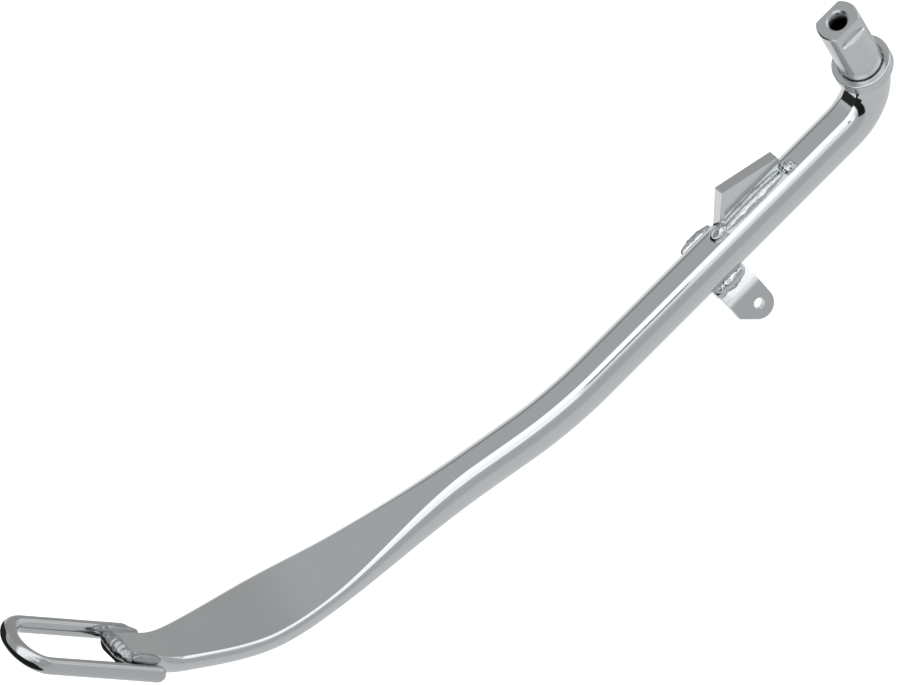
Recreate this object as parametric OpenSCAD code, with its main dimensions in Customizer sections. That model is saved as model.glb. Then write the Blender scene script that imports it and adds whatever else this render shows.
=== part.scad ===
// Side stand leg for a motorcycle: a bent and forged round bar with a turned pivot stud,
// a thrust collar, a stop plate, a spring tab and a foot loop, all welded into one piece.
// The origin is the centre of the collar's bearing face. +Z runs up the stud, out of its
// tapped end, and the straight upper part of the bar runs along -X.

/* [Pivot stud] */
// Diameter of the stud that turns in the bracket
stud_d = 18.2; // [17.6:0.1:18.6]
// Length of the stud above the collar's face
stud_len = 33.7; // [30:0.1:40]
// Distance across the two flats at the stud's free end
flats_across = 13; // [12:0.1:15]
// Length of the flats, from the free end
flats_len = 7.1; // [5:0.1:10]
// Diameter of the tapped hole's wall
tapped_d = 8; // [7.5:0.1:8.5]
// Depth of the tapped hole
tapped_depth = 24; // [18:1:28]
// Diameter of the countersink at the hole's mouth
mouth_d = 9.5; // [9:0.1:11]
// Depth of the relief turned round the stud's root, inside the collar
relief = 0.3; // [0.2:0.05:0.6]

/* [Thrust collar] */
// Outer diameter of the collar
collar_d = 24.6; // [23:0.1:28]
// Height of the collar
collar_h = 5.5; // [4:0.1:7]
// Depth of the open ring between the stud and the collar
recess_depth = 2.6; // [1.5:0.1:3.5]
// Bevel on the collar's outer edge
collar_bevel = 0.7; // [0.3:0.1:1.2]

/* [Bar] */
// Diameter of the round bar
bar_d = 19.05; // [18.8:0.05:20]
// Depth of the narrow flat along the top of the bar
flat_depth = 0.63; // [0.4:0.01:1]
// Depth of the bar's centre line below the collar's face
bar_drop = 26.3; // [24:0.1:30]
// Distance from the stud's axis to the corner of the crank
crank_x = 182; // [170:1:195]
// Angle of the crank, seen along the stud
crank_angle = 11.7; // [6:0.1:16]
// Length of bar taken up by the crank's bend
crank_len = 39.5; // [30:0.5:50]

/* [Blade and toe] */
// Distance from the crank's corner to where the forging starts
forge_start = 40; // [30:1:45]
// Distance from the crank's corner to the widest part of the blade
blade_wide_at = 139; // [130:1:145]
// Width of the blade between the centres of its round edges, at its widest
blade_core = 23.8; // [18:0.1:26]
// Radius of the blade's round edges
blade_edge_r = 4.95; // [4.5:0.05:5.5]
// Sideways shift of the blade towards the outside of the crank
blade_shift = 2.8; // [0:0.1:4]
// Distance from the crank's corner to where the blade starts to narrow
narrow_from = 139.4; // [135:0.1:145]
// Length over which the blade narrows to the tongue
narrow_len = 60.6; // [55:0.1:70]
// Distance from the crank's corner to the start of the blade's upward sweep
sweep_from = 103.3; // [98:0.1:110]
// Radius of the long upward sweep of the blade
sweep_r = 180; // [160:1:200]
// Angle of the blade where the long sweep ends
sweep_angle = 24.1; // [20:0.1:28]
// Radius of the tight bend before the toe's tongue
toe_r = 22.3; // [20:0.1:26]
// Angle of the tongue above the plane of the bar
toe_angle = 55.9; // [50:0.1:60]
// Sideways shift of the toe and the loop towards the inside of the crank
toe_shift = 0.5; // [0:0.1:3]
// Length of the straight tongue
tongue_len = 15; // [12:0.1:20]
// Width of the tongue between the centres of its round edges
tongue_core = 7.9; // [6:0.1:9]
// Radius of the tongue's round edges
tongue_edge_r = 4.7; // [4.2:0.05:5]

/* [Foot loop] */
// Diameter of the loop's rod
rod_d = 7; // [6:0.1:8]
// Distance between the centre lines of the loop's two sides
loop_w = 24.3; // [24.2:0.1:26]
// Straight length of each side of the loop
loop_straight = 60; // [50:0.1:70]
// Distance from the start of the tongue to the rod's ends
loop_start = 0.8; // [0:0.1:4]
// Depth of the loop below the middle of the tongue's thickness
loop_sink = 0.5; // [0:0.1:2]
// Length of the mitre on the rod's far end
mitre = 5.5; // [3:0.1:8]

/* [Stop plate] */
// Thickness of the stop plate
stop_t = 4.8; // [4:0.1:6]
// Length of the plate's foot on the bar
stop_len = 36.7; // [30:0.1:40]
// Height of the plate's tall end
stop_tall = 19.4; // [15:0.1:22]
// Height of the plate's short end
stop_short = 9.1; // [7:0.1:12]
// Lean of the tall end
stop_lean = 8.7; // [5:0.1:12]
// Weld bevel along the foot of the plate's rear face
stop_bevel = 1.8; // [1.7:0.1:2.4]
// Distance from the stud's axis to the short end
stop_x = 49.3; // [45:0.1:55]

/* [Spring tab] */
// Width of the tab along the bar
tab_w = 16.4; // [15:0.1:18]
// Thickness of the tab
tab_t = 3.2; // [2.5:0.1:4]
// Diameter of the hole for the spring's hook
hook_d = 4.7; // [4:0.1:6]
// Radius of the tab's round end, about the hole
tab_end_r = 6.4; // [5:0.1:7]
// Distance from the stud's axis to the near side of the tab
tab_x = 85.8; // [85:0.1:95]
// Length of the tab's first straight, from the bar to the fold
tab_reach = 19.7; // [18:0.1:21]
// Slope of the folded outer part below the level of the bar
tab_slope = 57; // [45:1:65]
// Distance from the fold to the hole
hook_reach = 6.9; // [6:0.1:8]

/* [Hidden] */
$fn = 64;

deg = 180 / PI;
bar_r = bar_d / 2;
top_z = -bar_drop + bar_r - flat_depth;
bend_r = bar_drop - collar_h;

// The crank is an arc in plan, and the lower leg leaves it straight.
crank_r = crank_len / crank_angle * deg;
crank_tangent = crank_r * tan(crank_angle / 2);
crank_x0 = -crank_x + crank_tangent;
lower_dir = [-cos(crank_angle), sin(crank_angle)];
crank_end = [crank_x0 - crank_r * sin(crank_angle), crank_r * (1 - cos(crank_angle))];

// Lengths along the leg are counted from the start of the crank.
corner_s = crank_len / 2;
sweep_s = corner_s + sweep_from;
toe_s = sweep_s + sweep_r * sweep_angle / deg;
tongue_s = toe_s + toe_r * (toe_angle - sweep_angle) / deg;
tip_s = tongue_s + tongue_len;
toe_q = sweep_s + sweep_r * sin(sweep_angle);
toe_z = sweep_r * (1 - cos(sweep_angle));
tongue_q = toe_q + toe_r * (sin(toe_angle) - sin(sweep_angle));
tongue_z = toe_z + toe_r * (cos(sweep_angle) - cos(toe_angle));

function ramp(x) = let (t = min(max(x, 0), 1)) t * t * (3 - 2 * t);

// Plan position and heading at the plan distance q from the start of the crank.
function plan_at(q) = q < crank_len
    ? let (a = q / crank_r * deg) [crank_x0 - crank_r * sin(a), crank_r * (1 - cos(a)), a]
    : [crank_end.x + (q - crank_len) * lower_dir.x, crank_end.y + (q - crank_len) * lower_dir.y,
        crank_angle];

// Plan distance, rise and slope at the length s along the leg's top.
function climb_at(s) = s < sweep_s ? [s, 0, 0]
    : s < toe_s ? let (b = (s - sweep_s) / sweep_r * deg)
        [sweep_s + sweep_r * sin(b), sweep_r * (1 - cos(b)), b]
    : s < tongue_s ? let (b = sweep_angle + (s - toe_s) / toe_r * deg)
        [toe_q + toe_r * (sin(b) - sin(sweep_angle)), toe_z + toe_r * (cos(sweep_angle) - cos(b)), b]
    : [tongue_q + (s - tongue_s) * cos(toe_angle), tongue_z + (s - tongue_s) * sin(toe_angle), toe_angle];

// Share of the narrowing from the blade to the tongue.
function narrowing_at(s) = ramp((s - corner_s - narrow_from) / narrow_len);

// Size of the cross-section: half the core, the edge radius and the sideways shift.
function core_at(s) = blade_core / 2 * ramp((s - corner_s - forge_start) / (blade_wide_at - forge_start))
    - (blade_core - tongue_core) / 2 * narrowing_at(s);
function edge_at(s) = bar_r - (bar_r - blade_edge_r) * ramp((s - corner_s - forge_start) / 84)
    - (blade_edge_r - tongue_edge_r) * ramp((s - toe_s) / 12);
function shift_at(s) = blade_shift * ramp((s - corner_s - forge_start) / 71)
    - (blade_shift + toe_shift) * narrowing_at(s);

// The cross-section is two round edges joined by flats, cut off by the leg's top plane. The
// swept part starts inside the round bar and is smaller by skin all round, so that the two
// solids overlap and never share a face.
skin = 0.02;
sweep_lap = 1;
arc_steps = 12;
function section(s) = let (r = edge_at(s) - skin, c = core_at(s), e = shift_at(s), depth = r - flat_depth,
    cut = asin(depth / r), step = (90 + cut) / arc_steps)
    concat([for (i = [0:arc_steps]) let (a = i * step - cut) [e + c + r * cos(a), skin + depth + r * sin(a)]],
        [for (i = [0:arc_steps]) [e - c - r * sin(i * step), skin + depth + r * cos(i * step)]]);

// A point at u across the leg and d below its top, at the length s along it.
function leg_point(s, u, d) = let (c = climb_at(s), p = plan_at(c[0]), yaw = p[2], pitch = c[2])
    [p.x, p.y, top_z + c[1]] + u * [-sin(yaw), -cos(yaw), 0]
    - d * [cos(yaw) * sin(pitch), -sin(yaw) * sin(pitch), cos(pitch)];

function ring_at(s) = [for (p = section(s)) leg_point(s, p.x, p.y)];

// Stations are close together where the shape changes fast.
stations = concat([-sweep_lap], [for (i = [0:5]) i * crank_len / 5], [corner_s + forge_start],
    [for (i = [1:22]) corner_s + forge_start + i * (toe_s - corner_s - forge_start) / 22],
    [for (i = [1:7]) toe_s + i * (tongue_s - toe_s) / 7], [tip_s]);

module sweep_leg() {
    rings = [for (s = stations) ring_at(s)];
    n = len(rings[0]);
    m = len(rings);
    sides = [for (j = [0:m - 2], i = [0:n - 1]) let (a = j * n + i, b = j * n + (i + 1) % n)
        each [[a, b, b + n], [a, b + n, a + n]]];
    caps = [[for (i = [n - 1:-1:0]) i], [for (i = [0:n - 1]) (m - 1) * n + i]];
    polyhedron([for (r = rings) each r], concat(sides, caps), convexity = 6);
}

// Round bar profile with its narrow flat on the +Y side of the drawing.
module bar_profile() {
    difference() {
        circle(r = bar_r);
        translate([-bar_r, bar_r - flat_depth]) square([bar_d, 2]);
    }
}

// Places children in the tongue's frame: +X outwards along the toe, +Y across towards the
// near side, +Z out of the tongue's upper face. The origin is on the upper face.
module on_tongue() {
    p = leg_point(tongue_s, 0, 0);
    translate(p) rotate([0, 0, 180 - crank_angle]) rotate([0, -toe_angle, 0]) children();
}

// A weld bead: a round ridge of length l along +X with n ripples and tapered ends.
ripple = 0.07;
end_taper = 0.35;
module bead(l, r, n) {
    steps = 3 * n;
    rotate([0, 90, 0]) rotate_extrude($fn = 20)
        polygon(concat([[0, 0]], [for (i = [1:steps - 1]) let (t = i / steps)
            [r * (1 + ripple * cos(360 * n * t)) * pow(sin(180 * t), end_taper), l * t]], [[0, l]]));
}

// Radii of the beads, by the piece that they hold.
stop_bead_r = 2.2;
stop_end_r = 3.1;
tab_front_r = 4.4;
tab_rear_r = 2.6;
tab_end_bead_r = 2.8;
loop_bead_r = 2.3;
toe_bead_r = 3.3;

// The stop plate stands on the bar's top with its front face just behind the bar's middle.
stop_y = 0.4;
stop_foot_x = -stop_x - stop_len;

module leg_bar() {
    color("silver") union() {
        translate([0, 0, -collar_h]) cylinder(r = bar_r, h = collar_h - recess_depth);
        translate([-bend_r, 0, -collar_h]) rotate([90, 0, 0]) rotate([0, 0, -90])
            rotate_extrude(angle = 90) translate([bend_r, 0]) rotate([0, 0, 90]) bar_profile();
        translate([-bend_r, 0, -bar_drop]) rotate([90, 0, -90])
            linear_extrude(height = -crank_x0 - bend_r) bar_profile();
        sweep_leg();
    }
}

module pivot_stud() {
    tip = stud_len - flats_len;
    color("gainsboro") difference() {
        union() {
            translate([0, 0, -recess_depth]) cylinder(d = stud_d - 2 * relief, h = recess_depth + 1);
            cylinder(d = stud_d, h = stud_len - 0.5);
            translate([0, 0, stud_len - 0.5]) cylinder(d1 = stud_d, d2 = stud_d - 1, h = 0.5);
        }
        for (side = [-1, 1]) translate([-stud_d, side * (flats_across / 2 + 5) - 5, tip])
            cube([2 * stud_d, 10, flats_len + 1]);
        translate([0, 0, stud_len - tapped_depth]) cylinder(d = tapped_d, h = tapped_depth + 1);
        translate([0, 0, stud_len - (mouth_d - tapped_d) / 2])
            cylinder(d1 = tapped_d, d2 = mouth_d, h = (mouth_d - tapped_d) / 2);
    }
}

module thrust_collar() {
    color("whitesmoke") difference() {
        union() {
            translate([0, 0, -collar_h]) cylinder(d = collar_d, h = collar_h - collar_bevel);
            translate([0, 0, -collar_bevel])
                cylinder(d1 = collar_d, d2 = collar_d - 2 * collar_bevel, h = collar_bevel);
        }
        translate([0, 0, -collar_h - 1]) cylinder(r = bar_r, h = collar_h + 2);
    }
}

module neck_weld() {
    fillet = collar_d / 2 - bar_r - 0.2;
    color("lightgray") translate([0, 0, -collar_h - fillet]) rotate_extrude()
        difference() {
            translate([bar_r - 0.6, 0]) square([fillet + 0.6, fillet]);
            translate([bar_r + fillet, 0]) circle(r = fillet - 0.1);
        }
}

module stop_plate() {
    side = stop_bevel * sqrt(2);
    color("silver") translate([-stop_x, stop_y, top_z]) rotate([90, 0, 0])
        translate([0, 0, -stop_t]) difference() {
            linear_extrude(height = stop_t)
                polygon([[0, 0], [-stop_len, 0], [-stop_len + stop_lean, stop_tall], [-0.7, stop_short]]);
            translate([-stop_len / 2, 0, 0]) rotate([45, 0, 0])
                cube([stop_len + 2, side, side], center = true);
        }
}

module stop_front_weld() {
    color("lightgray") translate([stop_foot_x + 1.5, stop_y - 1, top_z - 0.1])
        bead(stop_len - 4, stop_bead_r, 13);
}

module stop_rear_weld() {
    color("lightgray") translate([stop_foot_x + 1.5, stop_y + stop_t - 0.1, top_z - 0.8])
        bead(stop_len - 4, stop_bead_r, 13);
}

module stop_lower_weld() {
    color("lightgray") translate([stop_foot_x - 5.5, stop_y + 0.3, top_z - 0.4])
        rotate([0, 6, 0]) bead(9, stop_end_r, 3);
}

module stop_upper_weld() {
    color("lightgray") translate([-stop_x - 2.4, stop_y - 0.8, top_z - 0.6]) bead(6.5, stop_end_r, 3);
}

// The tab's strip, in the YZ plane about the bar's centre: it wraps the bar's back, leaves it
// along a tangent, and is folded down again before the hole.
wrap_from = 5;
wrap_to = -58;
wrap_steps = 10;
tab_leave = bar_r * [cos(wrap_to), sin(wrap_to)];
tab_fold = tab_leave + tab_reach * [sin(wrap_to), -cos(wrap_to)];
function wrap(r) = [for (i = [0:wrap_steps]) let (a = wrap_from + i * (wrap_to - wrap_from) / wrap_steps)
    r * [cos(a), sin(a)]];
function reversed(list) = [for (i = [len(list) - 1:-1:0]) list[i]];

// Places children on the tab's folded part: +X along the bar towards the stud, +Y outwards
// along the tab, with the origin at the hole's centre.
module on_tab() {
    translate([-tab_x - tab_end_r, tab_fold.x, -bar_drop + tab_fold.y])
        rotate([180 + tab_slope, 0, 0]) translate([0, hook_reach, 0]) children();
}

// Outline of the folded part: round about the hole, with one corner cut at 45 degrees.
module tab_end_outline() {
    far_side = tab_w - tab_end_r;
    inner = hook_reach + 1;
    circle(r = tab_end_r);
    polygon([[tab_end_r, 0], [tab_end_r, -inner], [-far_side, -inner],
        [-far_side, tab_end_r * sqrt(2) - far_side], tab_end_r / sqrt(2) * [-1, 1], [0, 0]]);
}

module spring_tab() {
    tail = hook_reach + tab_end_r + 1;
    down = [-cos(tab_slope), -sin(tab_slope)];
    under_1 = [cos(wrap_to), sin(wrap_to)];
    under_2 = [sin(tab_slope), -cos(tab_slope)];
    inner_fold = tab_fold + tab_t * (under_1 + under_2) / (1 + under_1 * under_2);
    strip = concat(wrap(bar_r), [tab_fold, tab_fold + tail * down, tab_fold + tail * down + tab_t * under_2,
        inner_fold], reversed(wrap(bar_r + tab_t)));
    color("silver") difference() {
        translate([-tab_x, 0, -bar_drop]) rotate([90, 0, -90]) linear_extrude(height = tab_w)
            polygon([for (p = strip) [-p.x, p.y]]);
        on_tab() cylinder(d = hook_d, h = 4 * tab_t, center = true);
        on_tab() linear_extrude(height = 4 * tab_t, center = true) difference() {
            translate([-1.5 * tab_w, -hook_reach / 2]) square([3 * tab_w, 2 * tab_w]);
            tab_end_outline();
        }
    }
}

// The front bead fills the gap between the bar and the strip, where the strip leaves the bar.
// Its middle is given by the distance along the strip and the height above its upper face.
front_out = 10.5;
front_rise = 2.6;
front_mid = (bar_r - front_rise) * [cos(wrap_to), sin(wrap_to)] + front_out * [sin(wrap_to), -cos(wrap_to)];
module tab_front_weld() {
    color("lightgray") translate([-tab_x - tab_w + 0.4, front_mid.x, -bar_drop + front_mid.y])
        bead(tab_w - 1.5, tab_front_r, 6);
}

module tab_rear_weld() {
    a = wrap_from + 13;
    r = bar_r + 0.3;
    color("lightgray") translate([-tab_x - tab_w, r * cos(a), -bar_drop + r * sin(a)])
        bead(tab_w, tab_rear_r, 6);
}

module tab_end_weld() {
    color("lightgray") translate([-tab_x - tab_w - 1.4, front_mid.x - 1, -bar_drop + front_mid.y])
        bead(5.5, tab_end_bead_r, 2);
}

// The loop lies in the tongue's plane, level with the middle of its thickness.
rod_r = rod_d / 2;
loop_mid = -(tongue_edge_r - flat_depth / 2) - loop_sink;
loop_y = -toe_shift;
module foot_loop() {
    color("silver") on_tongue() translate([loop_start, loop_y, loop_mid]) difference() {
        union() {
            translate([0, loop_w / 2, 0]) rotate([0, 90, 0]) cylinder(d = rod_d, h = loop_straight);
            translate([0, -loop_w / 2, 0]) rotate([0, 90, 0]) cylinder(d = rod_d, h = loop_straight);
            translate([loop_straight, 0, 0]) rotate([0, 0, -90])
                rotate_extrude(angle = 180) translate([loop_w / 2, 0]) circle(d = rod_d);
            translate([0, loop_w / 2, 0]) sphere(d = rod_d);
        }
        translate([0, -loop_w / 2 + rod_r, -rod_d]) rotate([0, 0, -atan(rod_d / mitre)])
            translate([-rod_d, -3 * rod_d, 0]) cube([4 * rod_d, 3 * rod_d, 2 * rod_d]);
    }
}

// The two side beads fill the grooves between the tongue and the rods, and the toe bead
// lies across the tongue's end. The far bead runs on along its rod, past the tongue.
bead_depth = 0.9;
module loop_near_weld() {
    color("lightgray") on_tongue() translate([-0.5, loop_y + loop_w / 2 - rod_r - 0.3, -bead_depth])
        bead(tongue_len + 1, loop_bead_r, 8);
}

module loop_far_weld() {
    color("lightgray") on_tongue() translate([1, loop_y - loop_w / 2 + rod_r + 0.6, -bead_depth])
        bead(tongue_len + 10, loop_bead_r, 10);
}

module toe_weld() {
    w = loop_w - rod_d + 1.6;
    color("lightgray") on_tongue() translate([tongue_len + 2, loop_y - w / 2, -2.4])
        rotate([0, 0, 90]) bead(w, toe_bead_r, 9);
}

leg_bar();
pivot_stud();
thrust_collar();
neck_weld();
stop_plate();
stop_front_weld();
stop_rear_weld();
stop_lower_weld();
stop_upper_weld();
spring_tab();
tab_front_weld();
tab_rear_weld();
tab_end_weld();
foot_loop();
loop_near_weld();
loop_far_weld();
toe_weld();
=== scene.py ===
"""A chromed side stand leg: smooth meshes, weld beads, chrome and a soft studio.

Shapes are worked out in millimetres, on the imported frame's axes, and put into its metres when
each mesh is made."""

import random
from math import asin, atan2, cos, exp, floor, hypot, pi, radians, sin, sqrt, tan

import bmesh
import bpy
from mathutils import Matrix, Vector, noise


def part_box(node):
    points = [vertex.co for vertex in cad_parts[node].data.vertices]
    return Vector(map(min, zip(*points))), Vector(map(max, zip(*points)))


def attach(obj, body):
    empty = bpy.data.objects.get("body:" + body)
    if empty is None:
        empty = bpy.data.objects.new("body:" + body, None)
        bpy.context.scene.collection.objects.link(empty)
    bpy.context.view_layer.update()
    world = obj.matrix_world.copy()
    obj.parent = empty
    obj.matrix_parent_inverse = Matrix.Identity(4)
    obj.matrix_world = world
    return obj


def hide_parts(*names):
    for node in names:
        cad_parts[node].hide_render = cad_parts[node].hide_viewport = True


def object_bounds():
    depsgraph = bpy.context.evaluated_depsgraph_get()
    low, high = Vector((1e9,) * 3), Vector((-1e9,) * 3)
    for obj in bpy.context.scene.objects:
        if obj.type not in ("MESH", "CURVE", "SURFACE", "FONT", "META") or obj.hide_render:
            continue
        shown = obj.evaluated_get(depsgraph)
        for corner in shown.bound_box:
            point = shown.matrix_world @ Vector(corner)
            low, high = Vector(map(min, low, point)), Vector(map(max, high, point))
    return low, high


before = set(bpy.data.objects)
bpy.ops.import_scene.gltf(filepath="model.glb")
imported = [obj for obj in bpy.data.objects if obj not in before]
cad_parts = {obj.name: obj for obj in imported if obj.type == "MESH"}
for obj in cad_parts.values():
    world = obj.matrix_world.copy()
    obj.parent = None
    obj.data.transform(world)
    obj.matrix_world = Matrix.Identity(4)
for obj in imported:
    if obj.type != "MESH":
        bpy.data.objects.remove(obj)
cad_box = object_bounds()

MM = 0.001
SHARP_ANGLE = radians(28)


def box_mm(node):
    """Lowest and highest corner of a CAD node, in millimetres."""
    low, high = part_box(node)
    return low / MM, high / MM


# ---------------------------------------------------------------- sizes, in millimetres

leg_high = box_mm("leg_bar")[1]
stud_low, stud_high = box_mm("pivot_stud")
collar_low, collar_high = box_mm("thrust_collar")
plate_low, plate_high = box_mm("stop_plate")
tab_low, tab_high = box_mm("spring_tab")

BAR_R = leg_high.x
RECESS = -stud_low.z
COLLAR_H = -collar_low.z
COLLAR_R = collar_high.x
FLAT_DEPTH = 0.63
BAR_DROP = 26.3
TOP_Z = -BAR_DROP + BAR_R - FLAT_DEPTH
BEND_R = BAR_DROP - COLLAR_H

CRANK_X = 182.0
CRANK_ANGLE = radians(11.7)
CRANK_LEN = 39.5
CRANK_R = CRANK_LEN / CRANK_ANGLE
CRANK_START = -CRANK_X + CRANK_R * tan(CRANK_ANGLE / 2)
CORNER_S = CRANK_LEN / 2

FORGE_START = 40.0
THIN_OVER = 84.0
SHIFT_OVER = 71.0
BLADE_WIDE_AT = 139.0
BLADE_CORE = 23.8
BLADE_EDGE_R = 4.95
BLADE_SHIFT = 2.8
NARROW_FROM = 139.4
NARROW_LEN = 60.6
SWEEP_S = CORNER_S + 103.3
SWEEP_R = 180.0
SWEEP_ANGLE = radians(24.1)
TOE_R = 22.3
TOE_ANGLE = radians(55.9)
TOE_SHIFT = 0.5
TONGUE_LEN = 15.0
TONGUE_CORE = 7.9
TONGUE_EDGE_R = 4.7
TONGUE_EDGE_OVER = 12.0
TOE_S = SWEEP_S + SWEEP_R * SWEEP_ANGLE
TONGUE_S = TOE_S + TOE_R * (TOE_ANGLE - SWEEP_ANGLE)
TIP_S = TONGUE_S + TONGUE_LEN
EDGE_FILLET = 0.28
TIP_SLANT = 0.3

ROD_R = 3.5
LOOP_W = 24.3
LOOP_STRAIGHT = 60.0
LOOP_START = 0.8
LOOP_SINK = 0.5
LOOP_MID = -(TONGUE_EDGE_R - FLAT_DEPTH / 2) - LOOP_SINK
MITRE = 5.5

TAB_SLOPE = radians(57)
WRAP_FROM = radians(5)
WRAP_TO = radians(-58)
TAB_T = 3.2
TAB_REACH = 19.7
TAB_END_R = 6.4
TAB_SOFT_FOLD = 3.2
TAB_EDGE = 0.3
HOOK_REACH = 6.9
HOOK_R = 2.35

STUD_R = stud_high.x
STUD_TOP = stud_high.z
FLATS_LEN = 7.1
HALF_FLATS = 6.5
TAPPED_R = 4.0
THREAD_ROOT_R = 4.5
THREAD_PITCH = 1.5875
THREAD_LEN = 15.0
THREAD_STEPS = 14
HOLE_DEPTH = 24.0
HOLE_CONE = 1.5
RELIEF = 0.3


# ---------------------------------------------------------------- mesh helpers


def add_piece(name, node, slot, bm, material, sharp=SHARP_ANGLE, flats=False):
    """Makes a shown piece from a bmesh in millimetres, in place of a CAD node."""
    bmesh.ops.remove_doubles(bm, verts=bm.verts, dist=1e-5)
    bmesh.ops.recalc_face_normals(bm, faces=bm.faces)
    bmesh.ops.scale(bm, vec=(MM, MM, MM), verts=bm.verts)
    mesh = bpy.data.meshes.new(name)
    bm.to_mesh(mesh)
    bm.free()
    mesh.polygons.foreach_set("use_smooth", [True] * len(mesh.polygons))
    mesh.set_sharp_from_angle(angle=sharp)
    mesh.materials.append(material)
    piece = bpy.data.objects.new(name, mesh)
    bpy.context.scene.collection.objects.link(piece)
    if flats:
        steady = piece.modifiers.new("steady_flats", "WEIGHTED_NORMAL")
        steady.weight, steady.keep_sharp = 100, True
    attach(piece, "root")
    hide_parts(node)
    return piece


def loft(rings, caps=True, closed=False):
    """A bmesh skin through rings that all have the same number of points."""
    bm = bmesh.new()
    rows = [[bm.verts.new(p) for p in ring] for ring in rings]
    count = len(rows[0])
    pairs = list(zip(rows, rows[1:]))
    if closed:
        pairs.append((rows[-1], rows[0]))
    for a, b in pairs:
        for i in range(count):
            j = (i + 1) % count
            bm.faces.new((a[i], a[j], b[j], b[i]))
    if caps and not closed:
        bm.faces.new(list(reversed(rows[0])))
        bm.faces.new(rows[-1])
    return bm


def lathe(profile, count, shape=None):
    """A closed ring of revolution about Z. shape(radius, angle, z) may change a radius."""
    rings = []
    for i in range(count):
        a = 2 * pi * i / count
        ring = []
        for r, z in profile:
            rr = shape(r, a, z) if shape else r
            ring.append(Vector((rr * cos(a), rr * sin(a), z)))
        rings.append(ring)
    return loft(rings, caps=False, closed=True)


def ramp(x):
    """A smooth step from 0 to 1."""
    t = min(max(x, 0.0), 1.0)
    return t * t * (3 - 2 * t)


def spread(low, high, count):
    """count + 1 even values from low to high."""
    return [low + (high - low) * i / count for i in range(count + 1)]


# ---------------------------------------------------------------- the leg


def plan_at(q):
    """Plan position and heading at the plan distance q from the start of the crank."""
    if q < CRANK_LEN:
        a = q / CRANK_R
        return CRANK_START - CRANK_R * sin(a), CRANK_R * (1 - cos(a)), a
    x = CRANK_START - CRANK_R * sin(CRANK_ANGLE) - (q - CRANK_LEN) * cos(CRANK_ANGLE)
    y = CRANK_R * (1 - cos(CRANK_ANGLE)) + (q - CRANK_LEN) * sin(CRANK_ANGLE)
    return x, y, CRANK_ANGLE


def climb_at(s):
    """Plan distance, rise and slope at the length s along the leg's top."""
    if s < SWEEP_S:
        return s, 0.0, 0.0
    if s < TOE_S:
        b = (s - SWEEP_S) / SWEEP_R
        return SWEEP_S + SWEEP_R * sin(b), SWEEP_R * (1 - cos(b)), b
    b = min(SWEEP_ANGLE + (s - TOE_S) / TOE_R, TOE_ANGLE)
    past = max(s - TONGUE_S, 0.0)
    q = (
        SWEEP_S
        + SWEEP_R * sin(SWEEP_ANGLE)
        + TOE_R * (sin(b) - sin(SWEEP_ANGLE))
        + past * cos(TOE_ANGLE)
    )
    z = (
        SWEEP_R * (1 - cos(SWEEP_ANGLE))
        + TOE_R * (cos(SWEEP_ANGLE) - cos(b))
        + past * sin(TOE_ANGLE)
    )
    return q, z, b


def half_section(edge_r, core):
    """Right half of the cross-section, as (across, depth)."""
    middle = edge_r - FLAT_DEPTH
    run = sqrt((edge_r - EDGE_FILLET) ** 2 - (middle - EDGE_FILLET) ** 2)
    turn = atan2(middle - EDGE_FILLET, run)
    points = [(u, 0.0) for u in spread(0, core + run, 5)[:-1]]
    for a in spread(pi / 2, turn, 4)[:-1]:
        points.append((core + run + EDGE_FILLET * cos(a), EDGE_FILLET * (1 - sin(a))))
    for a in spread(turn, -pi / 2, 30):
        points.append((core + edge_r * cos(a), middle - edge_r * sin(a)))
    return points + [(core * (1 - k / 4), middle + edge_r) for k in (1, 2, 3, 4)]


def section(s):
    """The whole cross-section at the length s, as (across, depth)."""
    from_corner = s - CORNER_S
    forged = from_corner - FORGE_START
    narrow = ramp((from_corner - NARROW_FROM) / NARROW_LEN)
    widen = ramp(forged / (BLADE_WIDE_AT - FORGE_START))
    core = BLADE_CORE / 2 * widen - (BLADE_CORE - TONGUE_CORE) / 2 * narrow
    edge = BAR_R - (BAR_R - BLADE_EDGE_R) * ramp(forged / THIN_OVER)
    edge -= (BLADE_EDGE_R - TONGUE_EDGE_R) * ramp((s - TOE_S) / TONGUE_EDGE_OVER)
    side = BLADE_SHIFT * ramp(forged / SHIFT_OVER) - (BLADE_SHIFT + TOE_SHIFT) * narrow
    right = half_section(edge, max(core, 0.0))
    left = [(-u, d) for u, d in reversed(right[1:-1])]
    return [(side + u, d) for u, d in right + left]


def leg_ring(s):
    """A ring of the lower leg at the length s. The tongue's tip is cut at a slant."""
    q, rise, slope = climb_at(s)
    x, y, yaw = plan_at(q)
    along = Vector((-cos(yaw) * cos(slope), sin(yaw) * cos(slope), sin(slope)))
    slant = TIP_SLANT * max(s - TONGUE_S, 0.0) / TONGUE_LEN
    ring = []
    for u, d in section(s):
        px = x - u * sin(yaw) - d * cos(yaw) * sin(slope)
        py = y - u * cos(yaw) + d * sin(yaw) * sin(slope)
        ring.append(Vector((px, py, TOP_Z + rise - d * cos(slope))) - along * u * slant)
    return ring


def neck_ring(angle, lift=0.0):
    """A ring of the bent neck, from just below the collar (0) to the bar (90 degrees)."""
    out = Vector((cos(angle), 0, -sin(angle)))
    top = Vector((-BEND_R, 0, -COLLAR_H + lift)) + out * (BEND_R - BAR_R + FLAT_DEPTH)
    return [top + Vector((0, -u, 0)) + out * d for u, d in section(0)]


def bar_ring(x):
    """A ring of the straight bar."""
    return [Vector((x, -u, TOP_Z - d)) for u, d in section(0)]


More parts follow.
